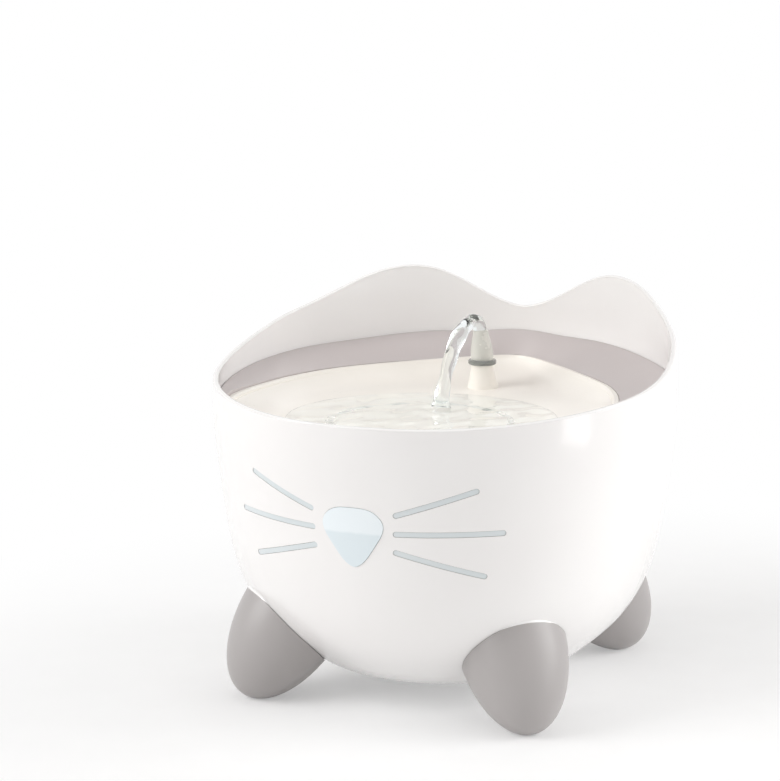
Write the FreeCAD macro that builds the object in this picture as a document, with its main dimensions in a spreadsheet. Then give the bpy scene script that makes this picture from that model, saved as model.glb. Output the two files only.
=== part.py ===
import FreeCAD, Part
import math
import os
import Sketcher

# Pet water fountain: a round white reservoir with an eared rim on four feet, a lift-out dish with
# a spout, and a pump, a filter and a cover inside.
# Units are millimetres. +Z is up, the nose faces -Y, and the origin is on the floor under the
# axis of the reservoir.

Vector = FreeCAD.Vector
doc = FreeCAD.newDocument("pet_water_fountain")

# sizes
SIZES = [
    ("shell_bottom_z", 13.4, "underside of the reservoir"),
    ("shell_wall", 2.8, "wall thickness of the reservoir"),
    ("bore_r", 115.1, "upright inner wall above the ledge"),
    ("ledge_r", 110.0, "inner edge of the ledge that carries the surround"),
    ("ledge_z", 134.0, "top of the ledge"),
    ("rim_front_z", 153.4, "rim height above the nose"),
    ("ear_tip_z", 201.0, "height of the ear tips"),
    ("saddle_z", 179.5, "rim height between the ears"),
    ("foot_front_r", 107.0, "reach of a front foot from the axis"),
    ("foot_back_r", 117.0, "reach of a back foot from the axis"),
    ("foot_front_deg", 45.9, "front feet, from the front"),
    ("foot_back_deg", 38.2, "back feet, from the back"),
    ("foot_long", 49.5, "half length of a foot's rounded cone"),
    ("foot_half_width", 27.0, "half width of a foot"),
    ("foot_flat_z", 0.6, "flat sole of a foot"),
    ("pad_r", 4.8, "foot pad radius"),
    ("pad_depth", 2.0, "pocket in the sole for the pad"),
    ("boss_r", 6.0, "screw boss radius"),
    ("boss_z", 16.0, "lower end of a screw boss"),
    ("screw_r", 1.5, "foot screw radius"),
    ("screw_head_r", 3.0, "foot screw head radius"),
    ("curved_gap", 0.3, "gap between curved faces of different pieces"),
    ("run_gap", 0.05, "radial clearance of a shaft or stub in its hole"),
    ("window_gap", 0.15, "gap around the nose and the whiskers"),
    ("whisker_w", 2.8, "width of a whisker window"),
    ("plate_wall", 2.0, "thickness of the clear plate behind the face"),
    ("seal_h", 1.2, "height of the flat seals"),
    ("skirt_r", 114.7, "outer radius of the surround"),
    ("dish_edge_z", 151.4, "dish edge on the X axis"),
    ("dish_slope", 0.022, "rise of the dish edge towards the back"),
    ("dish_seat_z", 138.0, "flange that the dish rests on"),
    ("dish_wall", 2.6, "thickness of the dish"),
    ("pool_z", 143.0, "level of the pool in the dish"),
    ("pool_y", -30.0, "centre of the pool"),
    ("pool_r", 68.5, "radius of the pool"),
    ("riser_y", 54.0, "axis of the riser tube"),
    ("riser_r", 5.5, "outer radius of the riser tube"),
    ("riser_bore_r", 3.2, "water passage of the riser tube"),
    ("spout_z", 157.0, "top of the pedestal"),
    ("spout_r", 5.85, "nozzle radius at its foot"),
    ("spout_tip_r", 4.0, "nozzle radius at its mouth"),
    ("spout_tip_z", 176.0, "height of the nozzle's mouth"),
    ("spout_lean", 3.0, "forward offset of the nozzle's mouth"),
    ("spigot_r", 4.6, "nozzle spigot in the pedestal"),
    ("neck_r", 5.0, "nozzle neck in the collar"),
    ("collar_r", 7.5, "collar radius"),
    ("collar_h", 2.5, "collar height"),
    ("inlet_z", 116.0, "axis of the power inlet"),
    ("inlet_r", 6.0, "body radius of the power inlet"),
    ("inlet_flange_r", 9.0, "flange radius of the power inlet"),
    ("lead_r", 1.3, "radius of the pump's lead"),
    ("pump_half_w", 18.0, "half width of the pump casing"),
    ("pump_front_y", 26.0, "front of the pump casing"),
    ("pump_back_y", 58.0, "back of the pump casing"),
    ("pump_z", 23.0, "underside of the pump casing"),
    ("pump_top_z", 53.0, "top of the pump casing"),
    ("rotor_z", 37.0, "axis of the rotor"),
    ("chamber_r", 11.5, "impeller chamber radius"),
    ("chamber_y", 50.0, "front of the impeller chamber"),
    ("well_r", 6.5, "rotor well radius"),
    ("well_y", 37.0, "blind end of the rotor well"),
    ("island_r", 8.0, "tube around the rotor well"),
    ("shaft_r", 1.2, "rotor shaft radius"),
    ("bush_r", 2.2, "shaft bush radius"),
    ("stub_r", 4.3, "outlet stub radius"),
    ("stub_top_z", 61.0, "top of the outlet stub"),
    ("cap_t", 3.0, "thickness of the front cap"),
    ("lens_r", 2.5, "light lens radius"),
    ("lens_z", 48.2, "height of the light"),
    ("cover_y", 9.0, "centre of the pump cover"),
    ("cover_r", 58.0, "outer radius of the pump cover"),
    ("cover_z", 22.0, "lower edge of the pump cover"),
    ("cover_top_z", 64.0, "top of the pump cover"),
    ("cover_wall", 2.0, "wall of the pump cover"),
    ("filter_r", 42.0, "filter cartridge radius"),
    ("filter_h", 16.0, "filter cartridge height"),
]

sheet = doc.addObject("Spreadsheet::Sheet", "Sizes")
for row, (alias, value, note) in enumerate(SIZES, start=1):
    sheet.set("A%d" % row, alias)
    sheet.set("B%d" % row, str(value))
    sheet.set("C%d" % row, note)
    sheet.setAlias("B%d" % row, alias)
doc.recompute()


class Dim:
    """A length that carries its value and the spreadsheet formula it comes from."""

    def __init__(self, value, text):
        self.value = value
        self.text = text

    def __float__(self):
        return self.value

    def __add__(self, other):
        other = dim(other)
        return Dim(self.value + other.value, "(%s + %s)" % (self.text, other.text))

    def __sub__(self, other):
        other = dim(other)
        return Dim(self.value - other.value, "(%s - %s)" % (self.text, other.text))

    def __mul__(self, other):
        other = dim(other)
        return Dim(self.value * other.value, "(%s * %s)" % (self.text, other.text))

    def __neg__(self):
        return dim(0) - self

    def __radd__(self, other):
        return dim(other) + self

    def __rsub__(self, other):
        return dim(other) - self

    def __rmul__(self, other):
        return dim(other) * self


def dim(number):
    """A Dim as it is, or a plain number as a constant Dim."""
    return number if isinstance(number, Dim) else Dim(float(number), repr(float(number)))


class Sizes:
    """The named sizes, read back from the spreadsheet."""


S = Sizes()
for alias, value, note in SIZES:
    setattr(S, alias, Dim(float(sheet.get(alias)), "Sizes.%s" % alias))


# bodies from sketches
def bound(obj, path, length):
    """Set a property to a length and bind it to the spreadsheet."""
    obj.setExpression(path, dim(length).text)


def new_body(label):
    body = doc.addObject("PartDesign::Body", label)
    body.Label = label
    return body


def new_sketch(body, role, height):
    """A sketch on one of the body's own planes, moved along the plane's normal."""
    sketch = body.newObject("Sketcher::SketchObject", body.Label + "_sketch")
    plane = next(f for f in body.Origin.OriginFeatures if f.Role == role)
    sketch.AttachmentSupport = [(plane, "")]
    sketch.MapMode = "FlatFace"
    if dim(height).value != 0:
        bound(sketch, ".AttachmentOffset.Base.z", height)
    return sketch


def pin_point(sketch, geometry, point, x, y):
    """Hold a point of the sketch at x, y from its origin."""
    for kind, length in (("DistanceX", dim(x)), ("DistanceY", dim(y))):
        index = sketch.addConstraint(
            Sketcher.Constraint(kind, -1, 1, geometry, point, length.value))
        sketch.setExpression("Constraints[%d]" % index, length.text)


def add_polygon(sketch, points):
    flat = [Vector(float(dim(x)), float(dim(y)), 0) for x, y in points]
    first = sketch.GeometryCount
    for a, b in zip(flat, flat[1:] + flat[:1]):
        sketch.addGeometry(Part.LineSegment(a, b), False)
    count = len(flat)
    for i in range(count):
        sketch.addConstraint(
            Sketcher.Constraint("Coincident", first + i, 2, first + (i + 1) % count, 1))
    for i, (x, y) in enumerate(points):
        pin_point(sketch, first + i, 1, x, y)


def add_circle(sketch, x, y, radius):
    radius = dim(radius)
    centre = Vector(float(dim(x)), float(dim(y)), 0)
    circle = sketch.addGeometry(Part.Circle(centre, Vector(0, 0, 1), radius.value), False)
    index = sketch.addConstraint(Sketcher.Constraint("Radius", circle, radius.value))
    sketch.setExpression("Constraints[%d]" % index, radius.text)
    pin_point(sketch, circle, 3, x, y)


def block(x0, x1, y0, y1):
    """Corner points of a rectangle."""
    return [(x0, y0), (x1, y0), (x1, y1), (x0, y1)]


def extrude(body, role, start, end, polygons=(), circles=(), cut=False):
    """Fill, or cut, outlines between two heights along the plane's world axis."""
    start, end = dim(start), dim(end)
    sketch = new_sketch(body, role, -end if role == "XZ_Plane" else start)
    for points in polygons:
        add_polygon(sketch, points)
    for x, y, radius in circles:
        add_circle(sketch, x, y, radius)
    feature = body.newObject("PartDesign::Pocket" if cut else "PartDesign::Pad", body.Label + "_step")
    feature.Profile = sketch
    feature.Reversed = cut
    bound(feature, "Length", end - start)
    return feature


def turned(label, profile, x=0, y=0, z=0):
    """A body turned about its own upright axis from (radius, height) points."""
    body = new_body(label)
    sketch = new_sketch(body, "XZ_Plane", 0)
    add_polygon(sketch, profile)
    turn = body.newObject("PartDesign::Revolution", label + "_turn")
    turn.Profile = sketch
    turn.ReferenceAxis = (sketch, ["V_Axis"])
    turn.Angle = 360
    for name, length in (("x", x), ("y", y), ("z", z)):
        bound(body, "Placement.Base." + name, length)
    return body


def ring(inner, outer, low, high):
    """Profile of a flat ring."""
    return [(inner, low), (outer, low), (outer, high), (inner, high)]


def lay_back(body):
    """Turn a body's own +Z onto the world's +Y, as for pieces on the rotor's axis."""
    body.Placement.Rotation = FreeCAD.Rotation(Vector(1, 0, 0), -90)


# free-form pieces
def feature(label, shape):
    piece = doc.addObject("Part::Feature", label)
    piece.Label = label
    piece.Shape = shape
    piece.Placement = FreeCAD.Placement()
    return piece


def cylinder(radius, low, high, x=0.0, y=0.0):
    low, high = float(low), float(high)
    return Part.makeCylinder(float(radius), high - low, Vector(float(x), float(y), low))


def rod(radius, start, end):
    """A cylinder between two points."""
    return Part.makeCylinder(float(radius), (end - start).Length, start, end - start)


def box(x0, x1, y0, y1, z0, z1):
    x0, x1, y0, y1, z0, z1 = (float(v) for v in (x0, x1, y0, y1, z0, z1))
    return Part.makeBox(x1 - x0, y1 - y0, z1 - z0, Vector(x0, y0, z0))


def polar(radius, degrees, z=0.0):
    """Point at an angle measured from the front (-Y) towards +X."""
    a = math.radians(degrees)
    return Vector(radius * math.sin(a), -radius * math.cos(a), z)


def curve(points):
    """A smooth edge through points."""
    spline = Part.BSplineCurve()
    spline.interpolate(points)
    return spline.toShape()


def line_chain(points):
    return [Part.makeLine(a, b) for a, b in zip(points, points[1:])]


def revolve(edges):
    """The solid swept by a closed outline in the XZ plane about the Z axis."""
    face = Part.Face(Part.Wire(Part.__sortEdges__(edges)))
    return face.revolve(Vector(0, 0, 0), Vector(0, 0, 1), 360)


def circle_wire(radius, x, y, z, slope=0.0):
    """A circle, level or leaning so that its plane rises towards +Y."""
    centre = Vector(x, y, z + slope * y)
    edge = Part.Circle(centre, Vector(0, 0, 1), radius).toShape()
    edge.rotate(centre, Vector(1, 0, 0), math.degrees(math.atan(slope)))
    return Part.Wire(edge)


# reservoir profile
# Outer wall: radius against height above the underside, taken off the silhouette.
OUTER = [(56.5, 0), (67.1, 4), (78.2, 12), (93.1, 26), (104.5, 45), (111.2, 70),
         (114.8, 95), (116.8, 112), (117.6, 120), (117.9, 150), (117.2, 200)]
BASE_Z = float(S.shell_bottom_z)
WALL = float(S.shell_wall)
outer_points = [Vector(r, 0, BASE_Z + h) for r, h in OUTER]


def offset_points(points, distance):
    """The same line, moved along its normal; positive moves it outward."""
    edge = curve(points)
    moved = []
    for point in points:
        tangent = edge.tangentAt(edge.Curve.parameter(point))
        moved.append(point + Vector(tangent.z, 0, -tangent.x) * distance)
    return moved


def filled_profile(offset):
    """The solid inside the outer wall's line, moved by an offset."""
    line = offset_points(outer_points, offset)
    low, high = line[0], line[-1]
    rest = line_chain([high, Vector(0, 0, high.z), Vector(0, 0, low.z), low])
    return revolve([curve(line)] + rest)


def hollow_profile():
    """The space inside the reservoir, with its upright bore and the ledge."""
    line = [p for p in offset_points(outer_points, -WALL) if p.z < float(S.ledge_z) - 8]
    low, high = line[0], line[-1]
    ledge_z, ledge_r = float(S.ledge_z), float(S.ledge_r)
    slope_z = ledge_z - 2.2 - (high.x - ledge_r)
    rest = [high, Vector(high.x, 0, slope_z), Vector(ledge_r, 0, ledge_z - 2.2),
            Vector(ledge_r, 0, ledge_z), Vector(float(S.bore_r), 0, ledge_z),
            Vector(float(S.bore_r), 0, 240), Vector(0, 0, 240), Vector(0, 0, low.z), low]
    return revolve([curve(line)] + line_chain(rest))


def rim_height(degrees):
    """Height of the rim at an angle from the front: low front, two ears, a saddle behind."""
    stations = [(0, float(S.rim_front_z)), (21, 153.6), (34, 154.8), (49, 156.9), (64, 159.5),
                (77, 162.4), (90, 167.2), (100, 172.3), (110, 178.4), (119, 183.2), (128, 189.6),
                (137, 196.6), (144, 200.1), (150, float(S.ear_tip_z)), (156, 199.1),
                (162, 194.2), (168, 187.8), (174, 182.2), (180, float(S.saddle_z))]
    a = abs((degrees + 180) % 360 - 180)
    for (a0, z0), (a1, z1) in zip(stations, stations[1:]):
        if a <= a1:
            return z0 + (z1 - z0) * (a - a0) / (a1 - a0)
    return stations[-1][1]


STATION_ANGLES = [0, 21, 34, 49, 64, 77, 90, 100, 110, 119, 128, 137, 144, 150, 156, 162, 168, 174, 180]
RIM_ANGLES = STATION_ANGLES + [360 - a for a in reversed(STATION_ANGLES[1:-1])]


def rim_cutter():
    """The space above the rim's wave."""
    edges = []
    for radius in (90.0, 140.0):
        spline = Part.BSplineCurve()
        spline.interpolate([polar(radius, a, rim_height(a)) for a in RIM_ANGLES], PeriodicFlag=True)
        edges.append(spline.toShape())
    wave = Part.makeRuledSurface(edges[0], edges[1])
    return wave.extrude(Vector(0, 0, 90))


# feet
FEET = [
    ("foot_front_right", float(S.foot_front_r), float(S.foot_front_deg)),
    ("foot_front_left", float(S.foot_front_r), -float(S.foot_front_deg)),
    ("foot_back_right", float(S.foot_back_r), 180 - float(S.foot_back_deg)),
    ("foot_back_left", float(S.foot_back_r), 180 + float(S.foot_back_deg)),
]
CONE_LEAN = math.degrees(math.atan2(0.565, 0.826))
PARTING_SLOPE = 0.898
PARTING_Z = 57.5
FOOT_CENTRE_Z = 43.0


def at_foot(shape, degrees):
    """Move a piece from the radial plane along +X to a foot's direction."""
    shape.rotate(Vector(0, 0, 0), Vector(0, 0, 1), degrees - 90)
    return shape


def rounded_cone(reach):
    """The egg-shaped solid of a foot, leaning outward, in the radial plane along +X."""
    half = Part.ArcOfEllipse(Part.Ellipse(Vector(0, 0, 0), float(S.foot_long),
                                          float(S.foot_half_width)), 0, math.pi).toShape()
    ends = [v.Point for v in half.Vertexes]
    face = Part.Face(Part.Wire([half, Part.makeLine(ends[1], ends[0])]))
    egg = face.revolve(Vector(0, 0, 0), Vector(1, 0, 0), 360)
    egg.rotate(Vector(0, 0, 0), Vector(0, 1, 0), 90 - CONE_LEAN)
    egg.translate(Vector(reach - 26, 0, FOOT_CENTRE_Z))
    return egg


def above_parting(reach):
    """The half space above the line between a grey foot and the white shoulder."""
    slab = Part.makeBox(200, 120, 90, Vector(-100, -60, 0))
    slab.rotate(Vector(0, 0, 0), Vector(0, 1, 0), -math.degrees(math.atan(PARTING_SLOPE)))
    slab.translate(Vector(reach - 1, 0, PARTING_Z))
    return slab


def foot_pieces(reach):
    """Shoulder, boss and foot of one corner, in the radial plane along +X."""
    egg = rounded_cone(reach)
    upper = above_parting(reach)
    screw_x = reach - 8.7
    shoulder = egg.common(upper)
    boss = cylinder(S.boss_r, S.boss_z, 60, screw_x).cut(upper)
    foot = egg.cut(upper).cut(box(0, 200, -60, 60, -20, S.foot_flat_z))
    foot = foot.cut(cylinder(S.boss_r + S.curved_gap, S.boss_z, 80, screw_x))
    foot = foot.cut(cylinder(S.screw_r + S.run_gap * 4, 0, 40, screw_x))
    foot = foot.cut(cylinder(S.screw_head_r + S.curved_gap, 0, 5, screw_x))
    foot = foot.cut(cylinder(S.pad_r + S.curved_gap, 0, S.foot_flat_z + S.pad_depth, screw_x))
    return shoulder, boss, foot, screw_x


outer_solid = filled_profile(0.0)
foot_room = filled_profile(float(S.curved_gap))
shell = outer_solid.copy()
feet = {}
screw_places = []
for name, reach, degrees in FEET:
    shoulder, boss, foot, screw_x = foot_pieces(reach)
    shell = shell.fuse([at_foot(shoulder, degrees), at_foot(boss, degrees)])
    feet[name] = at_foot(foot, degrees).cut(foot_room)
    screw_places.append(polar(screw_x, degrees))

# face: nose and whiskers
FACE_R = 115.6
NOSE_HALF = [(0.0, 115.1), (5.6, 114.9), (10.2, 113.7), (13.7, 111.1), (15.6, 107.4),
             (15.2, 103.6), (12.6, 98.6), (8.6, 92.6), (4.3, 87.4), (0.0, 85.3)]
NOSE = NOSE_HALF + [(-x, z) for x, z in reversed(NOSE_HALF[1:-1])]
WHISKERS = [
    ("upper", (10.3, 112.1), (30.4, 125.4)),
    ("middle", (10.3, 103.2), (36.9, 104.0)),
    ("lower", (10.3, 94.4), (32.4, 82.2)),
]


def nose_prism(gap):
    """The rounded triangle, run through the front wall along Y, smaller by a gap."""
    centre = Vector(0, 0, 102)
    points = []
    for x, z in NOSE:
        spoke = Vector(x, 0, z) - centre
        points.append(centre + spoke * (1 - gap / spoke.Length))
    spline = Part.BSplineCurve()
    spline.interpolate([Vector(p.x, -135, p.z) for p in points], PeriodicFlag=True)
    return Part.Face(Part.Wire(spline.toShape())).extrude(Vector(0, 60, 0))


def whisker_prism(start, end, gap):
    """A round-ended slot run through the wall along its own middle direction."""
    middle = (start[0] + end[0]) / 2
    along = [(FACE_R * math.sin(math.radians(a - middle)), z) for a, z in (start, end)]
    width = float(S.whisker_w) / 2 - gap
    run = Vector(along[1][0] - along[0][0], 0, along[1][1] - along[0][1])
    unit = run / run.Length
    side = Vector(-unit.z, 0, unit.x) * width
    a = Vector(along[0][0], -135, along[0][1]) + unit * (gap + width)
    b = Vector(along[1][0], -135, along[1][1]) - unit * (gap + width)
    outline = [
        Part.makeLine(a + side, b + side),
        Part.Arc(b + side, b + unit * width, b - side).toShape(),
        Part.makeLine(b - side, a - side),
        Part.Arc(a - side, a - unit * width, a + side).toShape(),
    ]
    slot = Part.Face(Part.Wire(outline)).extrude(Vector(0, 60, 0))
    slot.rotate(Vector(0, 0, 0), Vector(0, 0, 1), middle)
    return slot


inner_solid = hollow_profile()
gap = float(S.window_gap)
nose_band = filled_profile(0.35).cut(filled_profile(-WALL))
whisker_band = filled_profile(-0.25).cut(filled_profile(-WALL))

# power inlet hole in the shell
INLET_Z = float(S.inlet_z)
INLET_FACE_Y = 114.6
INLET_BACK_Y = 105.0


def along_y(radius, y0, y1, x=0.0, z=INLET_Z):
    return Part.makeCylinder(float(radius), y1 - y0, Vector(x, y0, z), Vector(0, 1, 0))


# reservoir shell
shell = shell.cut(inner_solid)
shell = shell.fuse(along_y(12.0, INLET_BACK_Y + 4, 115.4))
shell = shell.cut(rim_cutter())
shell = shell.cut(nose_prism(0.0))
for side in (1, -1):
    for name, start, end in WHISKERS:
        slot = whisker_prism((side * start[0], start[1]), (side * end[0], end[1]), 0.0)
        shell = shell.cut(slot)
shell = shell.cut(along_y(S.inlet_r + S.run_gap * 2, 100, 130))
shell = shell.cut(along_y(S.inlet_flange_r + S.curved_gap, INLET_FACE_Y, 130))
for place in screw_places:
    shell = shell.cut(cylinder(S.screw_r + S.run_gap, 10, 30.5, place.x, place.y))
feature("reservoir_shell", shell.removeSplitter())
for name, foot in feet.items():
    feature(name, foot)


def screw():
    """A pan-head screw with its head's seat at z = 5."""
    head = cylinder(S.screw_head_r, 2.8, 5)
    slot = box(-2.4, 2.4, -0.4, 0.4, 2.7, 3.7)
    return head.fuse(cylinder(S.screw_r, 4.9, 30)).cut(slot).removeSplitter()


def copies(shape, places):
    """Separate solids of one shape at several places."""
    solids = []
    for place in places:
        solid = shape.copy()
        solid.translate(place)
        solids.append(solid)
    return Part.makeCompound(solids)


feature("foot_screws", copies(screw(), screw_places))
pad = cylinder(S.pad_r, 0, S.foot_flat_z + S.pad_depth)
pad = pad.makeFillet(0.3, [e for e in pad.Edges if e.BoundBox.ZMax < 0.1])
feature("foot_pads", copies(pad, screw_places))

feature("nose_window", nose_prism(gap).common(nose_band))
for side, side_name in ((1, "right"), (-1, "left")):
    for name, start, end in WHISKERS:
        prism = whisker_prism((side * start[0], start[1]), (side * end[0], end[1]), gap)
        feature("whisker_%s_%s" % (side_name, name), prism.common(whisker_band))

plate_outer = filled_profile(-WALL - float(S.curved_gap))
plate_inner = filled_profile(-WALL - float(S.curved_gap) - float(S.plate_wall))
plate_room = box(-78, 78, -130, -60, 74, 126.4)
feature("window_plate", plate_outer.cut(plate_inner).common(plate_room))

# power inlet
LEAD_POINTS = [Vector(6, 42, 48.2), Vector(31, 42, 48.2), Vector(37, 66, 36), Vector(27, 86, 60),
               Vector(13, 100, 92), Vector(0.4, 103, 112.4)]
lead_room = float(S.lead_r + S.run_gap)

inlet = along_y(S.inlet_flange_r, INLET_FACE_Y + 1, INLET_FACE_Y + 2.6)
inlet = inlet.fuse(along_y(S.inlet_r, 98, INLET_FACE_Y + 1))
inlet = inlet.cut(along_y(3.0, 105.5, 120))
inlet = inlet.fuse(along_y(1.0, 105, 115.5))
inlet = inlet.cut(rod(lead_room, LEAD_POINTS[4], LEAD_POINTS[5] + Vector(-0.05, 0.01, 0.1)))
feature("power_inlet", inlet.removeSplitter())
gasket = along_y(S.inlet_flange_r, INLET_FACE_Y, INLET_FACE_Y + 1)
feature("inlet_gasket", gasket.cut(along_y(S.inlet_r + S.curved_gap, 110, 120)))
nut_outline = Part.makePolygon([Vector(9.2 * math.cos(math.radians(60 * k)), 105.0,
                                       INLET_Z + 9.2 * math.sin(math.radians(60 * k)))
                                for k in range(7)])
nut = Part.Face(nut_outline).extrude(Vector(0, 4, 0))
feature("inlet_nut", nut.cut(along_y(S.inlet_r + S.run_gap, 100, 112)))


def lead_wire(points):
    """Straight runs joined by tangent arcs; each bend takes 0.45 of its shorter run."""
    edges = []
    start = points[0]
    for before, corner, after in zip(points, points[1:], points[2:]):
        back, ahead = before - corner, after - corner
        reach = 0.45 * min(back.Length, ahead.Length)
        back, ahead = back / back.Length, ahead / ahead.Length
        half_turn = (math.pi - back.getAngle(ahead)) / 2
        radius = reach / math.tan(half_turn)
        print("lead bend radius %.1f mm" % radius)
        a, b = corner + back * reach, corner + ahead * reach
        middle_way = (back + ahead) / (back + ahead).Length
        middle = corner + middle_way * (radius / math.cos(half_turn) - radius)
        edges.append(Part.makeLine(start, a))
        edges.append(Part.Arc(a, middle, b).toShape())
        start = b
    edges.append(Part.makeLine(start, points[-1]))
    return Part.Wire(edges)


path = lead_wire(LEAD_POINTS)
section = Part.Wire(Part.Circle(LEAD_POINTS[0], LEAD_POINTS[1] - LEAD_POINTS[0],
                                float(S.lead_r)).toShape())
feature("pump_lead", path.makePipeShell([section], True, False))

# pump
casing = new_body("pump_casing")
half, top = S.pump_half_w, S.pump_top_z
extrude(casing, "XY_Plane", S.pump_z, top, [block(-half, half, S.pump_front_y, S.pump_back_y)])
extrude(casing, "XY_Plane", top, S.stub_top_z, circles=[(0, S.riser_y, S.stub_r)])
extrude(casing, "XZ_Plane", S.pump_front_y, S.chamber_y - 2,
        [block(-half + 3, half - 3, S.pump_z + 2, top - 2)],
        [(0, S.rotor_z, S.island_r)], cut=True)
extrude(casing, "XZ_Plane", S.well_y, S.pump_back_y, circles=[(0, S.rotor_z, S.well_r)], cut=True)
extrude(casing, "XZ_Plane", S.chamber_y, S.pump_back_y, circles=[(0, S.rotor_z, S.chamber_r)],
        cut=True)
extrude(casing, "XZ_Plane", S.well_y - 3, S.well_y, circles=[(0, S.rotor_z, S.bush_r + S.run_gap)],
        cut=True)
extrude(casing, "XY_Plane", S.rotor_z + 8, S.stub_top_z, circles=[(0, S.riser_y, 3.0)], cut=True)
extrude(casing, "YZ_Plane", half - 4, half + 1,
        circles=[(LEAD_POINTS[0].y, LEAD_POINTS[0].z, S.lead_r + S.run_gap)], cut=True)

cap = new_body("pump_front_cap")
extrude(cap, "XZ_Plane", S.pump_front_y - S.cap_t, S.pump_front_y,
        [block(-half, half, S.pump_z, top)], [(0, S.lens_z, S.lens_r + S.run_gap)])
lens = turned("light_lens", [(0, 0), (S.lens_r, 0), (S.lens_r, S.cap_t + 0.3),
                             (1.2, S.cap_t + 0.9), (0, S.cap_t + 0.9)],
              0, S.pump_front_y, S.lens_z)
lens.Placement.Rotation = FreeCAD.Rotation(Vector(1, 0, 0), 90)

core = new_body("stator_core")
core_y0, core_y1 = S.chamber_y - 14, S.chamber_y - 4
core_z0, core_z1 = S.pump_z + 3.0, S.rotor_z + S.island_r + 1.5
arm_z0, arm_z1 = S.rotor_z - 3, S.rotor_z + 3
extrude(core, "XZ_Plane", core_y0, core_y1,
        [[(-10.2, core_z0), (10.2, core_z0), (10.2, arm_z0), (14, arm_z0), (14, arm_z1),
          (10.2, arm_z1), (10.2, core_z1), (-10.2, core_z1), (-10.2, arm_z1), (-14, arm_z1),
          (-14, arm_z0), (-10.2, arm_z0)]],
        [(0, S.rotor_z, S.island_r + S.curved_gap)])


def coil(side):
    """A winding around one arm of the core."""
    x0, x1 = sorted((side * 10.5, side * 13.9))
    y0, y1 = float(core_y0), float(core_y1)
    z0, z1 = float(arm_z0), float(arm_z1)
    outer = box(x0, x1, y0 - 2.2, y1 + 1.6, z0 - 4, z1 + 4)
    outer = outer.makeFillet(1.2, [e for e in outer.Edges if e.BoundBox.XLength > 1])
    return outer.cut(box(x0 - 1, x1 + 1, y0, y1, z0, z1))


feature("stator_coils", Part.makeCompound([coil(-1), coil(1)]))

board = new_body("driver_board")
extrude(board, "XZ_Plane", S.pump_front_y + 2.2, S.pump_front_y + 3.6,
        [block(-9, 9, S.rotor_z + S.island_r + 0.6, top - 2.4)])
chip = new_body("light_emitter")
extrude(chip, "XZ_Plane", S.pump_front_y + 0.9, S.pump_front_y + 2.2,
        [block(-1.8, 1.8, S.lens_z - 1.4, S.lens_z + 1.4)])

back_bush_y, front_bush_y = S.well_y - 3, S.pump_back_y - 2.2
lay_back(turned("rotor_magnet", ring(S.shaft_r + S.run_gap, S.well_r - 0.7, 0, 12.6),
                0, S.well_y + 0.6, S.rotor_z))
lay_back(turned("rotor_shaft", [(0, 0), (S.shaft_r, 0), (S.shaft_r, 23.4), (0, 23.4)],
                0, back_bush_y + 0.3, S.rotor_z))
bush = cylinder(S.bush_r, 0, 3).cut(cylinder(S.shaft_r + S.run_gap, -1, 4))
bush.rotate(Vector(0, 0, 0), Vector(1, 0, 0), -90)
feature("shaft_bushes", copies(bush, [Vector(0, float(back_bush_y), float(S.rotor_z)),
                                      Vector(0, float(front_bush_y), float(S.rotor_z))]))


def wheel():
    """The impeller: a thin disc with a hub and straight vanes, on the rotor's axis."""
    y0 = float(S.chamber_y) + 1.0
    z0 = float(S.rotor_z)
    disc = along_y(9.6, y0, y0 + 1.2, 0, z0).fuse(along_y(2.8, y0, y0 + 4.2, 0, z0))
    for k in range(6):
        vane = box(2.2, 9.4, y0 + 1, y0 + 4.4, z0 - 0.5, z0 + 0.5)
        vane.rotate(Vector(0, 0, z0), Vector(0, 1, 0), 60 * k)
        disc = disc.fuse(vane)
    return disc.cut(along_y(S.shaft_r + S.run_gap, y0 - 1, y0 + 7, 0, z0)).removeSplitter()


feature("impeller", wheel())

INTAKE = [(7.4 * math.cos(math.radians(45 + 90 * k)), 7.4 * math.sin(math.radians(45 + 90 * k)))
          for k in range(4)]
back = new_body("impeller_cover")
back_y0, back_y1 = S.pump_back_y, S.pump_back_y + 2.5
stud_r = dim(2.0)
extrude(back, "XZ_Plane", back_y0, back_y1, [block(-half, half, S.pump_z, top)],
        [(x, S.rotor_z + z, 2.9) for x, z in INTAKE])
extrude(back, "XZ_Plane", back_y0 - 2.2, back_y0 + 1, circles=[(0, S.rotor_z, 3.4)])
extrude(back, "XZ_Plane", back_y0 - 2.3, back_y0 + 0.8,
        circles=[(0, S.rotor_z, S.bush_r + S.run_gap)], cut=True)
extrude(back, "XZ_Plane", back_y1 - 0.5, back_y1 + 2.6, circles=[(0, S.rotor_z, stud_r)])

dial = new_body("flow_regulator")
extrude(dial, "XZ_Plane", back_y1, back_y1 + 2,
        circles=[(0, S.rotor_z, 11.0), (0, S.rotor_z, stud_r + S.run_gap)]
        + [(x, S.rotor_z + z, 2.9) for x, z in INTAKE])
extrude(dial, "XZ_Plane", back_y1, back_y1 + 2,
        [block(-1.8, 1.8, S.rotor_z + 10.5, S.rotor_z + 14.5)])

cup_h = S.pump_z - (S.shell_bottom_z + S.shell_wall)


def suction_cup():
    """A rubber cup with a stem that holds the pump above the floor."""
    height = float(cup_h)
    points = [(0, 1.2), (3.0, 0.0), (5.4, 0.0), (5.4, 0.8), (2.4, 3.0), (2.4, height), (0, height)]
    corners = [Vector(r, 0, z) for r, z in points]
    return revolve(line_chain(corners + corners[:1]))


cup_z = float(S.shell_bottom_z) + WALL
feature("suction_cups", copies(suction_cup(), [Vector(x, y, cup_z)
                                               for x in (-12, 12) for y in (29.5, 43.5)]))

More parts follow.
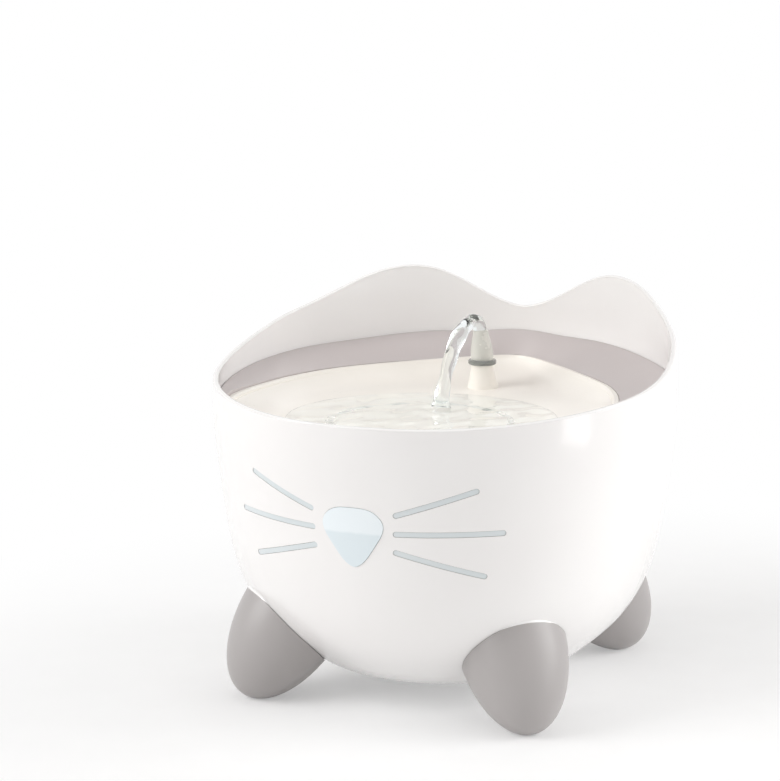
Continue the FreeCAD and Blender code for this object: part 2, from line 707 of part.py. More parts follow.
# pump cover and filter
cover = new_body("pump_cover")
cover_in = S.cover_r - S.cover_wall
cover_y, cover_top, cover_low = S.cover_y, S.cover_top_z, S.cover_z
extrude(cover, "XY_Plane", cover_low, cover_top, circles=[(0, cover_y, S.cover_r)])
extrude(cover, "XY_Plane", cover_low, cover_top - S.cover_wall, circles=[(0, cover_y, cover_in)],
        cut=True)
extrude(cover, "XY_Plane", cover_top, cover_top + 8,
        circles=[(0, 0, S.filter_r + S.curved_gap + 2), (0, 0, S.filter_r + S.curved_gap)])
drains = [(r * math.cos(math.radians(360.0 * k / n)), r * math.sin(math.radians(360.0 * k / n)), 2.6)
          for r, n in ((14, 8), (24, 12), (34, 18)) for k in range(n)]
extrude(cover, "XY_Plane", cover_top - S.cover_wall, cover_top, circles=drains, cut=True)
extrude(cover, "XY_Plane", cover_top - S.cover_wall, cover_top,
        circles=[(0, S.riser_y, S.riser_r + 0.6)], cut=True)
floor_z = S.shell_bottom_z + S.shell_wall
leg_in = S.cover_r - 14
for points in (block(-2.5, 2.5, cover_y - S.cover_r + 1, cover_y - leg_in),
               block(leg_in, S.cover_r - 1, cover_y - 2.5, cover_y + 2.5),
               block(-S.cover_r + 1, -leg_in, cover_y - 2.5, cover_y + 2.5)):
    extrude(cover, "XY_Plane", cover_low, cover_low + 4, [points])
for points in (block(-2.5, 2.5, cover_y - leg_in - 8, cover_y - leg_in),
               block(leg_in, leg_in + 8, cover_y - 2.5, cover_y + 2.5),
               block(-leg_in - 8, -leg_in, cover_y - 2.5, cover_y + 2.5)):
    extrude(cover, "XY_Plane", floor_z, cover_low + 0.5, [points])
extrude(cover, "XY_Plane", cover_low, cover_low + 24, [block(27, 42, 44, 72)], cut=True)
slots = [block(x - 1.25, x + 1.25, cover_low + 8, cover_low + 30) for x in range(-30, 31, 6)]
extrude(cover, "XZ_Plane", cover_y - S.cover_r - 1, cover_y - 40, slots, cut=True)

tray = new_body("filter_frame")
tray_in = S.filter_r - 1.6
extrude(tray, "XY_Plane", cover_top, cover_top + S.filter_h, circles=[(0, 0, S.filter_r)])
extrude(tray, "XY_Plane", cover_top + 1.5, cover_top + S.filter_h, circles=[(0, 0, tray_in)],
        cut=True)
extrude(tray, "XY_Plane", cover_top, cover_top + 1.5, circles=drains, cut=True)
disc_r = tray_in - S.curved_gap
foam_z, carbon_z, lid_z = cover_top + 1.5, cover_top + 6.5, cover_top + 13.0
turned("filter_foam", [(0, 0), (disc_r, 0), (disc_r, 5), (0, 5)], 0, 0, foam_z)
turned("filter_carbon", [(0, 0), (disc_r, 0), (disc_r, 6.5), (0, 6.5)], 0, 0, carbon_z)
lid = new_body("filter_lid")
extrude(lid, "XY_Plane", lid_z, lid_z + 1.5, circles=[(0, 0, disc_r)] + drains)

# surround and dish
SEAT_Z = float(S.dish_seat_z)
SLOPE = float(S.dish_slope)
EDGE_Z = float(S.dish_edge_z)
SKIRT_R = float(S.skirt_r)
SURROUND_Z = float(S.ledge_z) + float(S.seal_h)


STEP = 12
DISH_REACH = [112.5, 112.5, 112.5, 112.5, 112.5, 111.0, 103.3, 95.9, 91.1, 87.8, 85.7, 84.3, 85.3,
              89.7, 98.3, 107.0]
SURROUND_RISE = [148.5, 148.5, 148.5, 148.6, 148.9, 149.6, 151.4, 153.8, 156.3, 158.6, 160.3, 161.4,
                 163.3, 165.1, 166.5, 167.0]


def mirrored(half):
    """Values listed every STEP degrees from the front to the back, carried on round the far side."""
    return half + half[-2:0:-1]


def dish_points(grow):
    """The dish's plan, a round front drawn to a blunt point behind the spout, moved outwards."""
    plain = [polar(reach, STEP * k) for k, reach in enumerate(mirrored(DISH_REACH))]
    points = []
    for k, point in enumerate(plain):
        along = plain[(k + 1) % len(plain)] - plain[k - 1]
        points.append(point + Vector(along.y, -along.x, 0).normalize() * grow)
    return points


def smooth_wire(points):
    """A closed smooth wire through points."""
    spline = Part.BSplineCurve()
    spline.interpolate(points, PeriodicFlag=True)
    return Part.Wire([spline.toShape()])


def dish_outline(grow, low, high):
    """The dish's plan, carried up from one height to another."""
    points = [Vector(p.x, p.y, low) for p in dish_points(grow)]
    return Part.Face(smooth_wire(points)).extrude(Vector(0, 0, high - low))


def surround_edges():
    """Pairs of points: the surround's slope at its inner wall and at its outer wall."""
    pairs = []
    for k, (inner, rise) in enumerate(zip(dish_points(float(S.curved_gap)), mirrored(SURROUND_RISE))):
        outer = polar(SKIRT_R, STEP * k)
        pairs.append((Vector(inner.x, inner.y, EDGE_Z + SLOPE * inner.y + 0.3),
                      Vector(outer.x, outer.y, rise)))
    return pairs


def surround():
    """The grey ring between dish and reservoir: a skirt, a flange and a sloping top."""
    pairs = surround_edges()
    edges = []
    for k, reach in ((0, -14.0), (1, 8.0)):
        carried = []
        for inner, outer in pairs:
            way = (outer - inner) / Vector(outer.x - inner.x, outer.y - inner.y, 0).Length
            carried.append((inner, outer)[k] + way * reach)
        edges.append(smooth_wire(carried).Edges[0])
    above = Part.makeRuledSurface(edges[0], edges[1]).extrude(Vector(0, 0, 60))
    body = cylinder(SKIRT_R, SURROUND_Z, 174)
    body = body.cut(dish_outline(float(S.curved_gap), SEAT_Z, 180))
    body = body.cut(dish_outline(-5.0, 120, 180))
    body = body.cut(above)
    above.translate(Vector(0, 0, -3.0))
    hollow = cylinder(SKIRT_R - 2.4, 130, 176).cut(dish_outline(2.6, 129, 180)).cut(above)
    return body.cut(hollow).removeSplitter()


feature("dish_surround", surround())
turned("surround_seal", ring(S.ledge_r + 0.6, S.skirt_r - 0.9, 0, S.seal_h), 0, 0, S.ledge_z)

POOL_Z, POOL_Y, POOL_R = float(S.pool_z), float(S.pool_y), float(S.pool_r)
DISH_WALL = float(S.dish_wall)


# share of the plan's outline, pool radius, pool centre, height
DISH_RINGS = [(1.0, POOL_R, POOL_Y, EDGE_Z + 1), (0.45, POOL_R, POOL_Y, POOL_Z + 2),
              (0.0, POOL_R, POOL_Y, POOL_Z), (0.0, POOL_R - 11.5, POOL_Y - 1, POOL_Z - 3.5),
              (0.0, POOL_R - 26.5, POOL_Y - 1, POOL_Z - 6.4)]


def dish_ring(share, radius, centre, height, out, down):
    """A level of the bowl between the pool's circle and the dish's plan, moved out and down."""
    points = []
    for k, edge in enumerate(dish_points(out - 1.0)):
        pool = polar(radius + out, STEP * k) + Vector(0, centre, 0)
        point = edge * share + pool * (1 - share)
        lift = SLOPE * point.y if share == 1.0 else 0.0
        points.append(Vector(point.x, point.y, height + lift - down))
    return smooth_wire(points)


def dish():
    """A shallow bowl that deepens towards the front, with the spout's pedestal behind."""
    inside = Part.makeLoft([dish_ring(*station, 0.0, 0.0) for station in DISH_RINGS], True, False)
    outside = Part.makeLoft([dish_ring(*station, 2.2, DISH_WALL) for station in DISH_RINGS], True, False)
    outside = outside.common(dish_outline(0.0, 120, 180))
    rim = dish_outline(0.0, SEAT_Z, EDGE_Z + 20).cut(dish_outline(-3.4, 120, 180))
    above = Part.Face(circle_wire(SKIRT_R + 10, 0, 0, EDGE_Z, SLOPE)).extrude(Vector(0, 0, 60))
    bowl = outside.cut(inside).fuse(rim.cut(inside)).cut(above)
    y0 = float(S.riser_y)
    foot = circle_wire(9.0, 0, y0 + 2.0, POOL_Z - 0.5)
    middle = circle_wire(7.1, 0, y0 + 0.8, POOL_Z + 6.5)
    head = circle_wire(float(S.spout_r), 0, y0, float(S.spout_z))
    pedestal = Part.makeLoft([foot, middle, head], True, False)
    socket = cylinder(S.riser_r + 2.4, POOL_Z - 15, POOL_Z + 1, 0, y0)
    bowl = bowl.fuse([pedestal, socket])
    bowl = bowl.cut(cylinder(S.riser_r + S.run_gap, 120, POOL_Z - 2, 0, y0))
    bowl = bowl.cut(cylinder(3.4, 120, 160, 0, y0))
    bowl = bowl.cut(cylinder(S.spigot_r + S.run_gap, float(S.spout_z) - 6, 160, 0, y0))
    for k in range(-3, 4):
        place = polar(POOL_R - 4.5, 10.0 * k)
        bowl = bowl.cut(cylinder(2.2, 125, 150, place.x, place.y + POOL_Y))
    return bowl


feature("drinking_dish", dish())

# riser and spout
riser_low = S.pump_top_z + S.seal_h
riser_top = S.pool_z - 2
turned("riser_tube",
       [(S.stub_r + S.run_gap, riser_low), (S.riser_r, riser_low), (S.riser_r, riser_top),
        (S.riser_bore_r, riser_top), (S.riser_bore_r, S.stub_top_z + 1.5),
        (S.stub_r + S.run_gap, S.stub_top_z + 1.5)], 0, S.riser_y, 0)
turned("riser_seal", ring(S.stub_r + S.curved_gap, S.riser_r, 0, S.seal_h), 0, S.riser_y,
       S.pump_top_z)
turned("spout_collar",
       [(S.neck_r + S.run_gap, 0), (S.collar_r - 0.5, 0), (S.collar_r, 0.6),
        (S.collar_r, S.collar_h - 0.6), (S.collar_r - 0.5, S.collar_h),
        (S.neck_r + S.run_gap, S.collar_h)], 0, S.riser_y, S.spout_z)


def nozzle():
    """The clear mouthpiece: a spigot, a neck in the collar and a tapering lip that leans."""
    y0, z0 = float(S.riser_y), float(S.spout_z)
    z1, z2 = z0 + float(S.collar_h), float(S.spout_tip_z)
    lean = float(S.spout_lean)
    stations = [(float(S.spout_r), y0, z1), (float(S.spout_r) - 0.1, y0 - 0.3 * lean, z1 + 6),
                (float(S.spout_tip_r) + 0.7, y0 - 0.65 * lean, z1 + 11.5),
                (float(S.spout_tip_r), y0 - lean, z2)]
    outer = Part.makeLoft([circle_wire(r, 0, y, z) for r, y, z in stations], True, False)
    inner = Part.makeLoft([circle_wire(r - 1.5, 0, y, z) for r, y, z in stations], True, False)
    shape = outer.fuse([cylinder(S.spigot_r, z0 - 5.6, z0, 0, y0), cylinder(S.neck_r, z0, z1, 0, y0)])
    shape = shape.cut(inner).cut(cylinder(3.2, z0 - 7, z1 + 0.5, 0, y0))
    return shape.removeSplitter()


feature("spout_nozzle", nozzle())

# check and export
doc.recompute()
problems = [o.Label for o in doc.Objects if set(o.State) & {"Invalid", "Error"}]
print("objects with errors:", problems)
os.makedirs("parts", exist_ok=True)
nodes = [o for o in doc.Objects if o.TypeId in ("PartDesign::Body", "Part::Feature")]
for node in nodes:
    shape = node.Shape
    if shape.isNull() or not shape.isValid():
        print("bad shape:", node.Label)
        continue
    shape.exportStep("parts/%s.step" % node.Label)
    b = shape.BoundBox
    print("%-22s solids %2d  vol %10.1f  x %7.1f %7.1f  y %7.1f %7.1f  z %7.1f %7.1f" % (
        node.Label, len(shape.Solids), shape.Volume, b.XMin, b.XMax, b.YMin, b.YMax, b.ZMin, b.ZMax))
print("nodes:", len(nodes))
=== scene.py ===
# %% [markdown]
# # A pet water fountain, dressed for its picture
#
# The fountain is a round white tub with two ears on its rim, four grey feet, a grey ring with a
# cream dish inside, and a small clear spout that pours into a shallow pool. The solid model gives
# every piece its place. This file loads those pieces, adds what only a picture needs (the rounded
# lip, the water), and gives each piece its own finish.

# %% Load the model
import bpy
import math
import numpy as np
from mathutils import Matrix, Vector


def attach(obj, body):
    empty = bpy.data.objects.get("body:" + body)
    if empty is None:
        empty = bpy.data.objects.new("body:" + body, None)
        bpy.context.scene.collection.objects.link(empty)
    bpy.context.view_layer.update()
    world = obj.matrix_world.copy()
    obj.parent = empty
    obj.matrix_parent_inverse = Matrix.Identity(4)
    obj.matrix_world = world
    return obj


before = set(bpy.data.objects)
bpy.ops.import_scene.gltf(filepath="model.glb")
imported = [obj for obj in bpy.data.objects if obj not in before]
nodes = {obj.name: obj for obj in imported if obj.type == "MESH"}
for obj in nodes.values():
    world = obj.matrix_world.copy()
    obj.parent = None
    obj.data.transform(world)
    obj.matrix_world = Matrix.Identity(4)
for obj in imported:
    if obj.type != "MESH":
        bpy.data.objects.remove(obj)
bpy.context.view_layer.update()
print("solid pieces:", len(nodes))

# %% [markdown]
# ## The camera
#
# A product photograph is usually taken from a few steps away with a long lens, so the sides of the
# object stay nearly parallel. The camera here stands 1.2 m from the fountain, a little above its
# rim and to its right, and its lens is 108 mm on a 36 mm sensor. Aiming it with a quaternion
# that tracks -Z onto the target keeps the horizon level.

# %% Camera
TARGET = Vector((-0.02535, -0.01100, 0.15165))
AZIMUTH, ELEVATION, DISTANCE = math.radians(23.446), math.radians(10.349), 1.2
toward = Vector((math.sin(AZIMUTH) * math.cos(ELEVATION), -math.cos(AZIMUTH) * math.cos(ELEVATION),
                 math.sin(ELEVATION)))
camera_data = bpy.data.cameras.new("studio_camera")
camera_data.sensor_width = 36.0
camera_data.lens = 108.02
camera = bpy.data.objects.new("studio_camera", camera_data)
camera.location = TARGET + toward * DISTANCE
camera.rotation_euler = toward.to_track_quat("Z", "Y").to_euler()
bpy.context.scene.collection.objects.link(camera)
bpy.context.scene.camera = camera
bpy.context.scene.view_settings.view_transform = "Standard"
print("camera at", [round(v, 3) for v in camera.location])

# %% [markdown]
# ## Turning numbers into surfaces
#
# Every new piece is a grid of points: rows along one direction, columns along the other. With the
# points worked out as one array, the faces are index arithmetic: each face joins a point with its
# neighbours in the next row and the next column. A closed direction wraps round with a modulo, and
# where a surface ends in a point, a fan of triangles closes it.

# %% Grid to mesh
def grid_faces(rows, columns, wrap_rows=False, wrap_columns=False, flip=False):
    """Quads of a rows x columns grid: point (i, j) joins (i+1, j), (i+1, j+1) and (i, j+1)."""
    i = np.arange(rows if wrap_rows else rows - 1)[:, None]
    j = np.arange(columns if wrap_columns else columns - 1)[None, :]
    i2, j2 = (i + 1) % rows, (j + 1) % columns
    quads = np.stack([i * columns + j, i2 * columns + j, i2 * columns + j2, i * columns + j2], -1)
    quads = quads.reshape(-1, 4)
    return quads[:, ::-1] if flip else quads


def capped_faces(rows, columns):
    """A wrapped grid that closes on a point at each end. Points come as pole, grid, pole."""
    j = np.arange(columns)
    j2 = (j + 1) % columns
    last = 1 + (rows - 1) * columns
    first_fan = np.stack([0 * j, 1 + j, 1 + j2], -1)
    last_fan = np.stack([0 * j + last + columns, last + j2, last + j], -1)
    sides = grid_faces(rows, columns, wrap_columns=True) + 1
    return first_fan.tolist() + sides.tolist() + last_fan.tolist()


def surface(name, points, faces, body):
    """A smooth mesh object from an (n, 3) array in metres and a list of faces."""
    mesh = bpy.data.meshes.new(name)
    mesh.from_pydata(points.reshape(-1, 3).tolist(), [], [list(map(int, f)) for f in faces])
    mesh.polygons.foreach_set("use_smooth", np.ones(len(mesh.polygons), bool))
    mesh.update()
    piece = bpy.data.objects.new(name, mesh)
    bpy.context.scene.collection.objects.link(piece)
    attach(piece, body)
    print(name, "has", len(mesh.polygons), "faces")
    return piece


def hermite(t, h, v0, v1, slope0, slope1):
    """Cubic from v0 to v1 over a step h, leaving and arriving at the given slopes, at t from 0 to 1."""
    return ((2 * t**3 - 3 * t**2 + 1) * v0 + (t**3 - 2 * t**2 + t) * h * slope0
            + (3 * t**2 - 2 * t**3) * v1 + (t**3 - t**2) * h * slope1)


def rounded(stations, angles):
    """A periodic cubic through (angle, value) stations, its slopes taken from the neighbours."""
    a = np.array([s[0] for s in stations], float)
    v = np.array([s[1] for s in stations], float)
    a3 = np.concatenate([a - 360, a, a + 360])
    v3 = np.tile(v, 3)
    slope = np.gradient(v3, a3)
    x = np.mod(angles, 360.0)
    k = np.clip(np.searchsorted(a3, x, side="right") - 1, 0, len(a3) - 2)
    h = a3[k + 1] - a3[k]
    t = (x - a3[k]) / h
    return hermite(t, h, v3[k], v3[k + 1], slope[k], slope[k + 1])

# %% [markdown]
# ## Shader maths as Python
#
# A procedural finish is a small sum: a base colour, plus a little noise, through a ramp. Wrapping
# a node's output in a class with +, - and * lets that sum read like one. Anything that is not
# arithmetic comes from one method, `node`, which makes any shader node.

# %% Shader expressions
class Link:
    """One output of a shader node. Arithmetic on it adds Math nodes to the same tree."""

    def __init__(self, tree, socket=None):
        self.tree = tree
        self.socket = socket

    def node(self, kind, settings=None, inputs=None, output=0):
        """Make a node: first its settings or ramp stops, then the values or links of its sockets."""
        made = self.tree.nodes.new(kind)
        for name, value in (settings or {}).items():
            if name == "stops":
                ramp = made.color_ramp.elements
                while len(ramp) < len(value):
                    ramp.new(0.5)
                for stop, (place, colour) in zip(ramp, value):
                    stop.position = place
                    stop.color = colour
            else:
                setattr(made, name, value)
        for name, value in (inputs or {}).items():
            if isinstance(value, Link):
                self.tree.links.new(value.socket, made.inputs[name])
            else:
                made.inputs[name].default_value = value
        return Link(self.tree, made.outputs[output])

    def maths(self, operation, a, b):
        return self.node("ShaderNodeMath", {"operation": operation}, {0: a, 1: b})

    def __add__(self, other):
        return self.maths("ADD", self, other)

    def __sub__(self, other):
        return self.maths("SUBTRACT", self, other)

    def __mul__(self, other):
        return self.maths("MULTIPLY", self, other)

    def __radd__(self, other):
        return self.maths("ADD", other, self)

    def __rsub__(self, other):
        return self.maths("SUBTRACT", other, self)

    def __rmul__(self, other):
        return self.maths("MULTIPLY", other, self)


def new_finish(name):
    """A material whose node tree is empty, and the place to start its expressions."""
    material = bpy.data.materials.new(name)
    material.use_nodes = True
    material.node_tree.nodes.clear()
    return material, Link(material.node_tree)


def end_at(kind, shader):
    """Join a shader to the tree's output node."""
    output = shader.tree.nodes.new(kind)
    shader.tree.links.new(shader.socket, output.inputs["Surface"])


def seen_directly(start):
    """0 for rays that carry light, and 1 or more from the camera, a mirror or clear plastic."""
    rays = start.tree.nodes.new("ShaderNodeLightPath")
    kinds = ["Is Camera Ray", "Is Glossy Ray", "Is Transmission Ray"]
    camera_ray, glossy_ray, through_ray = [Link(start.tree, rays.outputs[kind]) for kind in kinds]
    return camera_ray + glossy_ray + through_ray


def srgb(r, g, b):
    """A colour as picked from a photograph, 0 to 255, as the linear values a shader wants."""
    c = np.array([r, g, b]) / 255.0
    linear = np.where(c <= 0.04045, c / 12.92, ((c + 0.055) / 1.055) ** 2.4)
    return (*[float(v) for v in linear], 1.0)


def moulded(name, dark, light, roughness, grain_mm, bump_mm, **shader):
    """Moulded plastic: colour drifts slowly between two tones, and a fine grain breaks the gloss."""
    material, start = new_finish(name)
    place = start.node("ShaderNodeTexCoord", output="Object")
    drift = start.node("ShaderNodeTexNoise", {}, {"Vector": place, "Scale": 9.0, "Detail": 2.0})
    grain = start.node("ShaderNodeTexNoise", {},
                       {"Vector": place, "Scale": 1000.0 / grain_mm, "Detail": 3.0})
    tone = start.node("ShaderNodeValToRGB", {"stops": [(0.3, dark), (0.7, light)]}, {"Fac": drift})
    bump = start.node("ShaderNodeBump", {},
                      {"Height": grain, "Strength": 0.6, "Distance": bump_mm / 1000.0})
    inputs = {"Base Color": tone, "Roughness": roughness + 0.12 * (grain - 0.5), "Normal": bump}
    for key, value in shader.items():
        inputs[key.replace("_", " ")] = value
    end_at("ShaderNodeOutputMaterial", start.node("ShaderNodeBsdfPrincipled", {}, inputs))
    return material


def dress(material, *names):
    """Give CAD pieces a finish."""
    for name in names:
        slots = nodes[name].data.materials
        slots.clear()
        slots.append(material)
    print(material.name, "on", len(names), "pieces")

# %% [markdown]
# ## Plastics
#
# The tub is injection-moulded white plastic with a polished face: nearly white, low roughness, and
# a thin clear gloss on top that catches the lamps as long upright bands. The feet and the ring
# inside are the same kind of plastic with a satin face, in warm greys. The dish is a cream satin.

# %% Plastics
white = moulded("polished_white", srgb(246, 244, 243), srgb(250, 249, 248), 0.20, 2.2, 0.003,
                IOR=1.5, Coat_Weight=0.6, Coat_Roughness=0.05)
grey_foot = moulded("satin_grey", srgb(172, 168, 167), srgb(178, 174, 173), 0.38, 0.5, 0.008)
grey_ring = moulded("rosy_grey", srgb(198, 190, 189), srgb(204, 196, 195), 0.40, 0.5, 0.008)
cream = moulded("satin_cream", srgb(252, 247, 239), srgb(254, 250, 243), 0.30, 1.2, 0.006,
                Coat_Weight=0.2, Coat_Roughness=0.12)
black = moulded("matte_black", srgb(38, 38, 40), srgb(48, 48, 50), 0.5, 0.6, 0.012)
rubber = moulded("soft_rubber", srgb(70, 70, 71), srgb(80, 80, 81), 0.75, 0.4, 0.015)
silicone = moulded("pale_silicone", srgb(205, 205, 203), srgb(214, 214, 211), 0.55, 0.6, 0.01,
                   Subsurface_Weight=0.2, Subsurface_Radius=(0.004, 0.004, 0.004))
dress(white, "reservoir_shell")
dress(grey_foot, "foot_front_right", "foot_front_left", "foot_back_right", "foot_back_left")
dress(grey_ring, "dish_surround")
dress(cream, "drinking_dish")
dress(rubber, "foot_pads", "suction_cups", "inlet_gasket", "shaft_bushes")
dress(black, "power_inlet", "inlet_nut", "pump_casing", "pump_front_cap", "impeller_cover",
      "pump_lead", "rotor_magnet")
dress(silicone, "surround_seal", "riser_seal")

# %% [markdown]
# ## Clear and frosted plastics
#
# The nose and the whiskers are windows in a pale icy blue. What shows of the water behind them is
# one soft line, a darker tone below it and a lighter one above, so they are made as glossy plastic
# whose colour changes at the water's height. The lens, the plate behind the face and the collar let
# light through, so they get transmission. The spout is frosted: little transmission, more blur.

# %% Clear plastics
WATER_LINE, LINE_SOFTNESS = 0.1030, 0.0007


def filled_window(name, below, above):
    """Glossy window with one tone up to the water line and a lighter one over it, by height."""
    material, start = new_finish(name)
    place = start.node("ShaderNodeTexCoord", output="Object")
    height = start.node("ShaderNodeSeparateXYZ", {}, {"Vector": place}, output="Z")
    sway = start.node("ShaderNodeTexNoise", {}, {"Vector": place, "Scale": 130.0})
    line = start.node("ShaderNodeMapRange", {},
                      {"Value": height + 0.0012 * sway, "From Min": WATER_LINE - LINE_SOFTNESS,
                       "From Max": WATER_LINE + LINE_SOFTNESS})
    tone = start.node("ShaderNodeValToRGB", {"stops": [(0.0, below), (1.0, above)]}, {"Fac": line})
    glossy = start.node("ShaderNodeBsdfPrincipled", {},
                        {"Base Color": tone, "Roughness": 0.14, "Coat Weight": 0.6,
                         "Coat Roughness": 0.04})
    end_at("ShaderNodeOutputMaterial", glossy)
    return material


ice = filled_window("ice_window", srgb(229, 240, 245), srgb(243, 251, 255))
whisker = moulded("whisker_window", srgb(216, 224, 227), srgb(226, 232, 234), 0.20, 2.0, 0.003,
                  Coat_Weight=0.5, Coat_Roughness=0.06)
clear = moulded("clear_plastic", srgb(232, 236, 236), srgb(240, 243, 243), 0.08, 2.0, 0.003,
                Transmission_Weight=0.85, IOR=1.46)
frosted = moulded("frosted_plastic", srgb(232, 231, 224), srgb(238, 238, 232), 0.26, 6.0, 0.001,
                  Transmission_Weight=0.12, IOR=1.46)
collar_rim = moulded("collar_clear", srgb(186, 188, 184), srgb(198, 200, 196), 0.10, 2.0, 0.002,
                     Transmission_Weight=0.6, IOR=1.46)
dress(ice, "nose_window")
dress(whisker, *["whisker_%s_%s" % (side, place) for side in ("left", "right")
                 for place in ("upper", "middle", "lower")])
dress(clear, "window_plate", "light_lens")
dress(collar_rim, "spout_collar")
dress(frosted, "spout_nozzle", "riser_tube", "pump_cover")

# %% [markdown]
# ## The pieces inside
#
# Steel, copper, a circuit board, foam and carbon are only seen when the dish is lifted out, but a
# finish costs little. Steel and copper are metals, so Metallic is 1 and the colour tints the shine.

# %% Inner finishes
steel = moulded("plain_steel", srgb(170, 170, 172), srgb(186, 186, 188), 0.32, 0.8, 0.006,
                Metallic=1.0)
copper = moulded("enamelled_copper", srgb(176, 98, 52), srgb(196, 116, 66), 0.3, 0.35, 0.06,
                 Metallic=1.0)
board = moulded("circuit_green", srgb(22, 82, 52), srgb(30, 96, 60), 0.35, 0.8, 0.01)
foam = moulded("open_foam", srgb(214, 219, 222), srgb(238, 241, 243), 0.95, 0.9, 0.35)
carbon = moulded("carbon_bed", srgb(20, 20, 21), srgb(46, 46, 47), 0.6, 1.6, 0.5)
dress(steel, "foot_screws", "stator_core", "rotor_shaft")
dress(copper, "stator_coils")
dress(board, "driver_board")
dress(white, "impeller", "light_emitter", "filter_frame", "filter_lid")
dress(grey_foot, "flow_regulator")
dress(foam, "filter_foam")
dress(carbon, "filter_carbon")

# %% [markdown]
# ## The rounded lip
#
# The rim is one flowing line, low over the face and rising into two ears. Its edge is softly
# rounded, and that thin round catches the light all the way along. It is a bead: the half round of
# an ellipse as wide as the wall, carried along the rim's line.

# %% Rim lip
MM = 0.001
RIM = [(0, 153.4), (21, 153.6), (34, 154.8), (49, 156.9), (64, 159.5), (77, 162.4), (90, 167.2),
       (100, 172.3), (110, 178.4), (119, 183.2), (128, 189.6), (137, 196.6), (144, 200.1),
       (150, 201.0), (156, 199.1), (162, 194.2), (168, 187.8), (174, 182.2), (180, 179.5)]
RIM = RIM + [(360 - a, z) for a, z in reversed(RIM[1:-1])]
WALL_OUT = [(133.4, 117.6), (163.4, 117.9), (213.4, 117.2)]
BORE_R = 115.1
LIP_STEPS, LIP_ROUND = 720, 14
LIP_PROUD, LIP_SINK, LIP_HEIGHT = 0.04, 0.35, 1.25


def wall_radius(z):
    """Outer radius of the tub's upright wall at a height, by straight lines between stations."""
    return np.interp(z, [s[0] for s in WALL_OUT], [s[1] for s in WALL_OUT])


def rim_lip():
    """Point (a, t): the rim's height at angle a, plus a half ellipse over the wall at t."""
    a = np.linspace(0, 360, LIP_STEPS, endpoint=False)[:, None]
    t = np.linspace(0, math.pi, LIP_ROUND)[None, :]
    z = rounded(RIM, a)
    r_out, r_in = wall_radius(z) + LIP_PROUD, BORE_R - LIP_PROUD
    r = (r_out + r_in) / 2 + (r_out - r_in) / 2 * np.cos(t)
    top = z - LIP_SINK + LIP_HEIGHT * np.sin(t)
    x, y = r * np.sin(np.radians(a)), -r * np.cos(np.radians(a))
    return np.stack([x, y, top + 0 * r], -1) * MM


lip = surface("rim_lip", rim_lip(),
              grid_faces(LIP_STEPS, LIP_ROUND, wrap_rows=True, wrap_columns=True),
              "reservoir")
lip.data.materials.append(white)

# %% [markdown]
# ## Water
#
# Clear water has almost no colour of its own: it shows as bent light and as bright and dark streaks
# where its surface tilts. So its finish is a smooth dielectric with water's refractive index, 1.33,
# and all the work is in its shape. A fine bump adds the small ripples that the mesh leaves out.

# %% Water finish
water = moulded("clear_water", srgb(246, 250, 251), srgb(252, 254, 254), 0.06, 26.0, 0.9,
                Transmission_Weight=1.0, IOR=1.33)

# %% [markdown]
# ## The pool
#
# The pool lies in the round hollow of the dish. Its top is a sum of waves: rings that leave the
# place where the stream lands and die away, and three slow swells that cross. Its underside
# follows the dish and dips just into it, so that no film of air shows between water and plastic.

# %% Pool
POOL_Y, POOL_R, POOL_Z = -30.0, 68.2, 143.0
POOL_RINGS, POOL_COLUMNS = 70, 200
SPLASH_Y = -4.0
DISH_DEPTH = [(0, 136.3), (41, 136.3), (50, 137.2), (57, 139.0), (64, 141.5), (68.5, 142.7)]


def ripple(x, y):
    """Height of the water above its level, in mm: decaying rings plus three crossing swells."""
    away = np.hypot(x, y - SPLASH_Y)
    rings = 0.75 * np.cos(away / 2.3) * np.exp(-away / 15.0)
    swell = (0.26 * np.sin(0.21 * x + 0.13 * y + 1.3 * np.sin(0.09 * y))
             + 0.22 * np.sin(-0.17 * x + 0.26 * y + 1.7 * np.sin(0.07 * x))
             + 0.12 * np.sin(0.45 * x - 0.31 * y))
    return rings + swell


def pool_points():
    """Top: level plus ripple, out to the rim. Underside: the dish's depth, back to the middle."""
    a = np.linspace(0, 2 * math.pi, POOL_COLUMNS, endpoint=False)[None, :]
    r = np.linspace(0.8, POOL_R, POOL_RINGS)[:, None]
    x, y = r * np.sin(a), POOL_Y - r * np.cos(a)
    calm = np.clip((POOL_R - r) / 5.0, 0.0, 1.0)
    top = np.stack([x, y, POOL_Z + ripple(x, y) * calm], -1)
    below = np.interp(r, [s[0] for s in DISH_DEPTH], [s[1] for s in DISH_DEPTH]) + 0 * a
    under = np.stack([x, y, below], -1)[::-1][1:]
    middle = np.array([[0, POOL_Y, POOL_Z + float(ripple(0.0, POOL_Y))]])
    floor_point = np.array([[0, POOL_Y, DISH_DEPTH[0][1]]])
    return np.concatenate([middle, top.reshape(-1, 3), under.reshape(-1, 3), floor_point]) * MM


pool = surface("water_pool", pool_points(), capped_faces(2 * POOL_RINGS - 1, POOL_COLUMNS),
               "dish_set")
pool.data.materials.append(water)

# %% [markdown]
# ## The stream
#
# The stream leaves the mouth of the spout, turns over under its own weight and falls in a rope of
# uneven thickness. It is a tube along a smooth path in the plane of the spout. Its section is a
# circle squeezed one way and then the other along its length, which gives falling water its twist,
# and it spreads into a foot where it meets the pool.

# %% Stream
STREAM = [(51.2, 173.0, 2.4), (49.6, 176.8, 3.0), (45.4, 180.6, 3.5), (39.0, 182.0, 3.5),
          (29.0, 180.4, 3.4), (19.0, 176.0, 3.5), (8.0, 166.0, 3.7), (0.0, 154.5, 3.8),
          (-3.4, 147.0, 3.9), (-4.0, 143.6, 4.8)]
STREAM_ROWS, STREAM_COLUMNS = 150, 40


